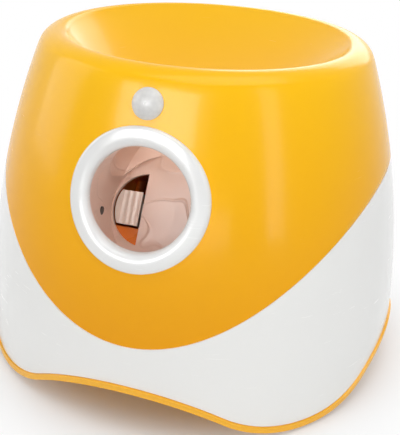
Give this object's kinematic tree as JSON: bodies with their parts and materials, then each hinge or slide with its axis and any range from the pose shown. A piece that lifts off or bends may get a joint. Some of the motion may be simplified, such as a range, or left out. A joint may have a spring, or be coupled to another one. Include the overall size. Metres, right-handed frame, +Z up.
{
  "type": "automatic dog ball launcher",
  "caption": "Bucket-shaped automatic ball launcher for dogs: open funnel top, inclined launch port, swinging kicker, gearbox and battery base.",
  "frame": {"origin": "centre of the footprint on the floor, under the barrel's axis", "axes": "+Z up along the barrel's axis, -Y out of the launch port (front), +X to the launcher's left side"},
  "size_m": [0.282, 0.282, 0.21],
  "materials": {
    "shell_yellow": "glossy",
    "shell_white": "glossy",
    "base_yellow": "satin",
    "rubber_black": "matte",
    "tube_pink": "matte",
    "part_black": "matte",
    "kicker_ivory": "satin",
    "steel": "satin",
    "gear_white": "satin",
    "brass": "satin",
    "steel_can": "satin",
    "housing_orange": "satin",
    "part_grey": "matte",
    "lens_milky": "glossy",
    "board_green": "satin",
    "button_white": "glossy",
    "light_clear": "glossy",
    "cell_jacket": "glossy"
  },
  "bodies": {
    "housing": {"upper_shell": "shell_yellow", "lower_shell": "shell_white", "base_pan": "base_yellow", "rubber_feet": "rubber_black", "port_ring": "shell_white", "launch_tube": "tube_pink", "ball_sensor_emitter": "part_black", "ball_sensor_receiver": "part_black", "kicker_pin": "steel", "kicker_spring": "steel", "kicker_bumper": "rubber_black", "sector_axle": "steel", "gear_axle_slow": "steel", "gear_axle_fast": "steel", "motor": "steel_can", "motor_screws": "steel", "gearbox_base": "housing_orange", "gearbox_cover": "housing_orange", "gearbox_screws": "steel", "tube_screws": "steel", "home_switch": "part_black", "gearbox_stand": "part_grey", "stand_screws": "steel", "sensor_lens": "lens_milky", "motion_sensor": "steel_can", "sensor_board": "board_green", "rear_panel": "part_grey", "button_switch": "part_black", "indicator_lights": "light_clear", "power_jack": "part_black", "main_board": "board_green", "sounder": "part_black", "board_screws": "steel", "battery_tray": "part_grey", "battery_cells": "cell_jacket", "battery_contacts": "steel", "shell_screws": "steel", "pan_screws": "steel"},
    "kicker_arm": {"kicker": "kicker_ivory"},
    "sector": {"sector_gear": "gear_white"},
    "slow_gear": {"compound_gear_slow": "gear_white"},
    "fast_gear": {"compound_gear_fast": "gear_white"},
    "motor_rotor": {"motor_pinion": "brass"},
    "door": {"battery_door": "base_yellow"},
    "button": {"power_button": "button_white"}
  },
  "joints": [
    {"name": "kicker_swing", "type": "hinge", "parent": "housing", "child": "kicker_arm", "pos_m": [0.02, -0.05516, 0.101], "axis": [0, -0.5, -0.866], "range_deg": [0, 35], "stiffness_Nm_per_rad": 0.05, "springref_deg": -17.19},
    {"name": "sector_turn", "type": "hinge", "parent": "housing", "child": "sector", "pos_m": [0.04314, -0.03128, 0.08721], "axis": [0, -0.5, -0.866], "range_deg": [-35.5, 0.5]},
    {"name": "slow_gear_turn", "type": "hinge", "parent": "housing", "child": "slow_gear", "pos_m": [0.02495, -0.01818, 0.08889], "axis": [0, -0.5, -0.866], "range_deg": [-0.5, 88]},
    {"name": "fast_gear_turn", "type": "hinge", "parent": "housing", "child": "fast_gear", "pos_m": [0.00815, -0.01619, 0.09235], "axis": [0, -0.5, -0.866], "range_deg": [-220, 1]},
    {"name": "motor_turn", "type": "hinge", "parent": "housing", "child": "motor_rotor", "pos_m": [-0.00445, -0.01319, 0.09755], "axis": [0, -0.5, -0.866], "range_deg": [-1, 550]},
    {"name": "door_hinge", "type": "hinge", "parent": "housing", "child": "door", "pos_m": [0, 0.0205, 0.03125], "axis": [-1, 0, 0], "range_deg": [0, 80]},
    {"name": "button_press", "type": "slide", "parent": "housing", "child": "button", "axis": [0, -0.9889, -0.1486], "range_m": [0, 0.0012], "stiffness_N_per_m": 300}
  ],
  "couplings": [
    {"joint": "sector_turn", "follows": "kicker_swing", "ratio": -1},
    {"joint": "slow_gear_turn", "follows": "kicker_swing", "ratio": 2.5},
    {"joint": "fast_gear_turn", "follows": "kicker_swing", "ratio": -6.25},
    {"joint": "motor_turn", "follows": "kicker_swing", "ratio": 15.625}
  ]
}
